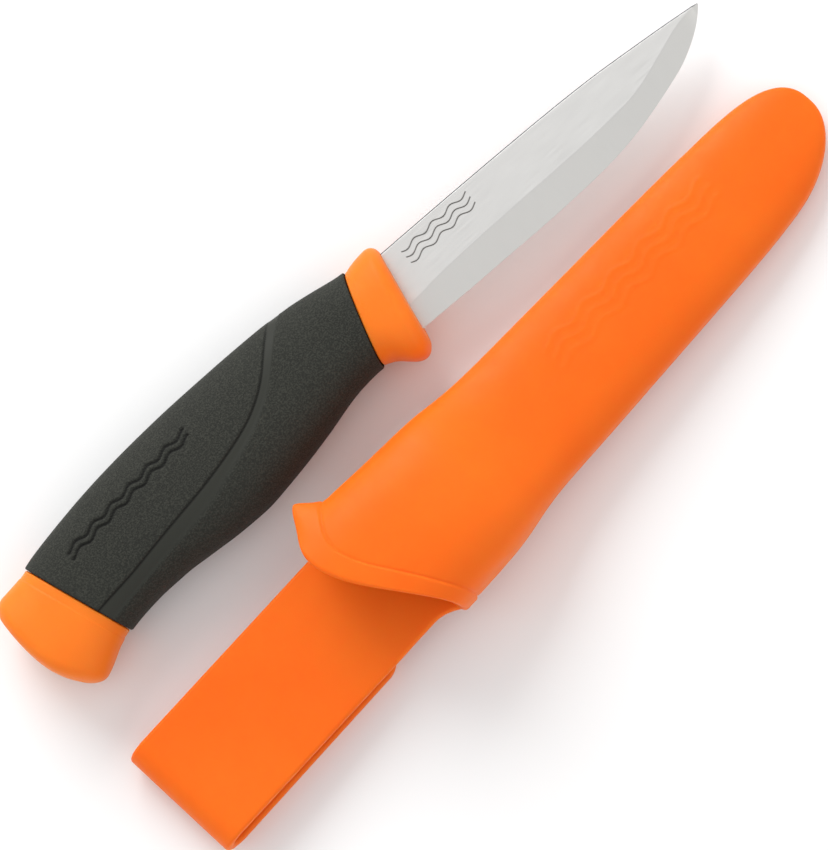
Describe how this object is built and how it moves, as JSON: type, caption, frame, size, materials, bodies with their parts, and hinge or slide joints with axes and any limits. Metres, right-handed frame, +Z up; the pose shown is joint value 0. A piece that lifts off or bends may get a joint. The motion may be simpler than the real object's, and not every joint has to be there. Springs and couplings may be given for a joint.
{
  "type": "rigging knife",
  "caption": "Fixed-blade rigging knife with a soft-grip handle, lying beside its moulded belt sheath with a spring clip and thumb ear.",
  "frame": {"origin": "middle of the footprint, on the surface that the knife and the sheath lie on", "axes": "+X along the sheath towards its tip, +Y towards the drawn knife, +Z up from the surface"},
  "size_m": [0.2234, 0.0866, 0.0325],
  "materials": {
    "blade": "satin-ground stainless steel",
    "handle_core": "satin orange polypropylene moulding",
    "grip_sleeve": "fine-grained matte black thermoplastic rubber",
    "sheath_body": "satin orange polypropylene moulding",
    "belt_clip": "satin orange polypropylene moulding"
  },
  "bodies": {
    "sheath": {"sheath_body": "sheath_body"},
    "clip": {"belt_clip": "belt_clip"},
    "knife": {"blade": "blade", "handle_core": "handle_core", "grip_sleeve": "grip_sleeve"}
  },
  "joints": [
    {"name": "knife_lift", "type": "slide", "parent": "sheath", "child": "knife", "axis": [0, 0, 1], "range_m": [0, 0.1]},
    {"name": "clip_flex", "type": "hinge", "parent": "sheath", "child": "clip", "pos_m": [-0.10534, -0.02283, 0.01046], "axis": [0, 1, 0], "range_deg": [0, 4], "stiffness_Nm_per_rad": 4}
  ]
}
